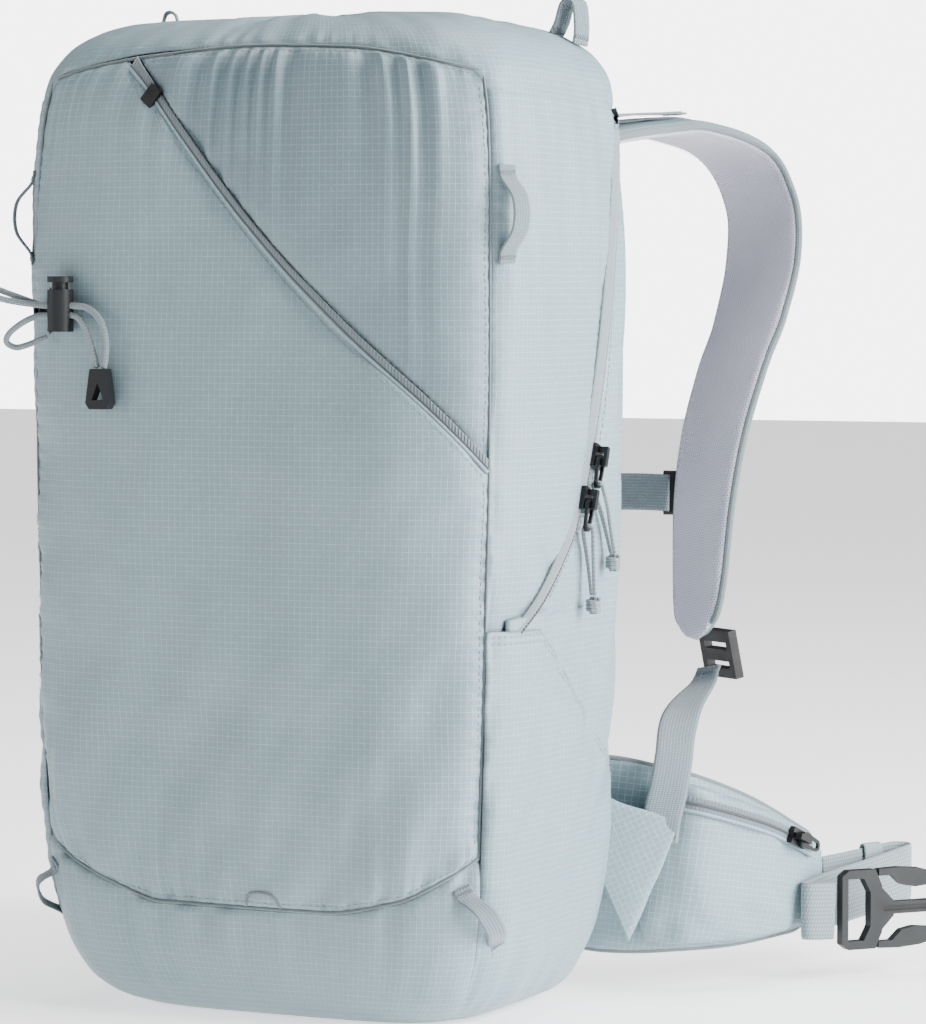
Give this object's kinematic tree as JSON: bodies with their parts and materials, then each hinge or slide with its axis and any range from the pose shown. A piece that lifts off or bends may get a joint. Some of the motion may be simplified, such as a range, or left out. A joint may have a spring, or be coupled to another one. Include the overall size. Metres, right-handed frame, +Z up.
{
  "type": "ski touring backpack",
  "caption": "Panel-opening ski touring backpack with padded harness, hip belt and buckle, slanted front pocket, ski loops and an elastic ice axe holder.",
  "frame": {"origin": "centre of the flat base, where the standing pack rests", "axes": "+Z up, -Y the outer front face, +Y towards the wearer, +X the wearer's right"},
  "size_m": [0.5021, 0.3936, 0.5106],
  "materials": {
    "shell_cloth": "coated ripstop nylon, satin",
    "shade_cloth": "ripstop nylon, satin, a shade darker",
    "mesh": "spacer mesh, matt",
    "webbing": "woven polyester webbing, matt",
    "zip_tape": "woven zip tape with coil, matt",
    "cord": "braided cord, matt",
    "black_plastic": "moulded, satin",
    "grey_plastic": "moulded, matt",
    "sheet_plastic": "semi-rigid sheet, matt",
    "rod": "drawn, satin",
    "slider_metal": "painted zinc, satin"
  },
  "bodies": {
    "pack": {"base_panel": "shell_cloth", "lower_gusset": "shell_cloth", "front_panel_lower": "shell_cloth", "side_panels_lower": "shell_cloth", "back_panel": "shade_cloth", "rear_gussets": "shell_cloth", "zip_tape_pack": "zip_tape", "side_wings": "shell_cloth", "frame_sheet": "sheet_plastic", "frame_rod": "rod", "back_pads": "mesh", "lumbar_pad": "mesh", "haul_loop": "shade_cloth", "shoulder_pad_right": "mesh", "shoulder_pad_left": "mesh", "load_lifters": "shade_cloth", "strap_anchors": "shell_cloth", "strap_webbings": "webbing", "lower_ski_loops": "webbing"},
    "lid": {"front_pocket_panel": "shell_cloth", "front_upper_panel": "shade_cloth", "side_gussets": "shell_cloth", "top_gusset": "shell_cloth", "zip_tape_front": "zip_tape", "pocket_wall": "shade_cloth", "pocket_zip_tape": "zip_tape", "upper_ski_loops": "webbing", "helmet_loops": "webbing", "axe_hook": "black_plastic", "cord_lock": "grey_plastic", "bungee_upper": "cord", "bungee_lower": "cord", "cord_end": "grey_plastic"},
    "cord_lock_button": {"cord_lock_button": "grey_plastic"},
    "pocket_slider": {"pocket_slider": "slider_metal"},
    "upper_slider": {"upper_slider": "slider_metal"},
    "upper_pull": {"upper_pull": "slider_metal", "upper_pull_cord": "cord", "upper_knot": "cord"},
    "lower_slider": {"lower_slider": "slider_metal"},
    "lower_pull": {"lower_pull": "slider_metal", "lower_pull_cord": "cord", "lower_knot": "cord"},
    "hip_right": {"hip_fin_right": "shell_cloth", "hip_pocket": "shell_cloth", "hip_zip_tape": "zip_tape", "hip_webbing_right": "webbing", "webbing_keeper": "shell_cloth"},
    "hip_slider": {"hip_slider": "slider_metal"},
    "hip_pull": {"hip_pull": "slider_metal"},
    "buckle_male": {"buckle_frame": "grey_plastic"},
    "buckle_arm_top": {"buckle_arm_top": "grey_plastic"},
    "buckle_arm_bottom": {"buckle_arm_bottom": "grey_plastic"},
    "hip_left": {"hip_fin_left": "shell_cloth", "hip_webbing_left": "webbing"},
    "buckle_female": {"buckle_socket": "grey_plastic"},
    "ladder_lock_right": {"ladder_lock_right": "black_plastic"},
    "ladder_lock_left": {"ladder_lock_left": "black_plastic"},
    "sternum": {"sternum_strap": "webbing", "sternum_buckle": "grey_plastic"}
  },
  "joints": [
    {"name": "lid_fold", "type": "hinge", "parent": "pack", "child": "lid", "pos_m": [0, -0.088, 0.2], "axis": [1, 0, 0], "range_deg": [0, 45]},
    {"name": "cord_lock_press", "type": "slide", "parent": "lid", "child": "cord_lock_button", "axis": [0, 0, -1], "range_m": [0, 0.003], "stiffness_N_per_m": 400, "springref_m": -0.002},
    {"name": "pocket_zip_slide", "type": "slide", "parent": "lid", "child": "pocket_slider", "axis": [0.6384, -0.0785, -0.7657], "range_m": [0, 0.09]},
    {"name": "upper_zip_slide", "type": "slide", "parent": "pack", "child": "upper_slider", "axis": [0, 0.342, 0.9397], "range_m": [0, 0.03]},
    {"name": "upper_pull_swing", "type": "hinge", "parent": "upper_slider", "child": "upper_pull", "pos_m": [0.14367, 0.028, 0.28], "axis": [0, -0.9397, 0.342], "range_deg": [0, 110]},
    {"name": "lower_zip_slide", "type": "slide", "parent": "pack", "child": "lower_slider", "axis": [0, -0.342, -0.9397], "range_m": [0, 0.02]},
    {"name": "lower_pull_swing", "type": "hinge", "parent": "lower_slider", "child": "lower_pull", "pos_m": [0.14316, 0.0165, 0.259], "axis": [0, -0.9397, 0.342], "range_deg": [0, 110]},
    {"name": "hip_right_fold", "type": "hinge", "parent": "pack", "child": "hip_right", "pos_m": [0.102, 0.1, 0.07], "axis": [0, 0, 1], "range_deg": [0, 25]},
    {"name": "hip_zip_slide", "type": "slide", "parent": "hip_right", "child": "hip_slider", "axis": [-0.2221, -0.8954, 0.386], "range_m": [0, 0.02]},
    {"name": "hip_pull_swing", "type": "hinge", "parent": "hip_slider", "child": "hip_pull", "pos_m": [0.19977, 0.15995, 0.0764], "axis": [-0.0929, -0.3746, -0.9225], "range_deg": [0, 110]},
    {"name": "buckle_male_turn", "type": "hinge", "parent": "hip_right", "child": "buckle_male", "pos_m": [0.21466, 0.18138, 0.0365], "axis": [0, 0, 1], "range_deg": [-25, 13]},
    {"name": "buckle_arm_top_press", "type": "hinge", "parent": "buckle_male", "child": "buckle_arm_top", "pos_m": [0.22777, 0.19701, 0.0557], "axis": [-0.766, 0.6428, 0], "range_deg": [0, 6], "stiffness_Nm_per_rad": 1.5},
    {"name": "buckle_arm_bottom_press", "type": "hinge", "parent": "buckle_male", "child": "buckle_arm_bottom", "pos_m": [0.22777, 0.19701, 0.0173], "axis": [0.766, -0.6428, 0], "range_deg": [0, 6], "stiffness_Nm_per_rad": 1.5},
    {"name": "hip_left_fold", "type": "hinge", "parent": "pack", "child": "hip_left", "pos_m": [-0.102, 0.1, 0.07], "axis": [0, 0, -1], "range_deg": [0, 25]},
    {"name": "buckle_female_turn", "type": "hinge", "parent": "hip_left", "child": "buckle_female", "pos_m": [-0.21466, 0.18138, 0.0365], "axis": [0, 0, 1], "range_deg": [-13, 25]},
    {"name": "ladder_lock_right_turn", "type": "hinge", "parent": "pack", "child": "ladder_lock_right", "pos_m": [0.14, 0.181, 0.182], "axis": [0.829, -0.5592, 0], "range_deg": [0, 35]},
    {"name": "ladder_lock_left_turn", "type": "hinge", "parent": "pack", "child": "ladder_lock_left", "pos_m": [-0.14, 0.181, 0.182], "axis": [0.829, 0.5592, 0], "range_deg": [0, 35]},
    {"name": "sternum_slide", "type": "slide", "parent": "pack", "child": "sternum", "axis": [0, 0.33, 0.944], "range_m": [-0.02, 0.02]}
  ]
}
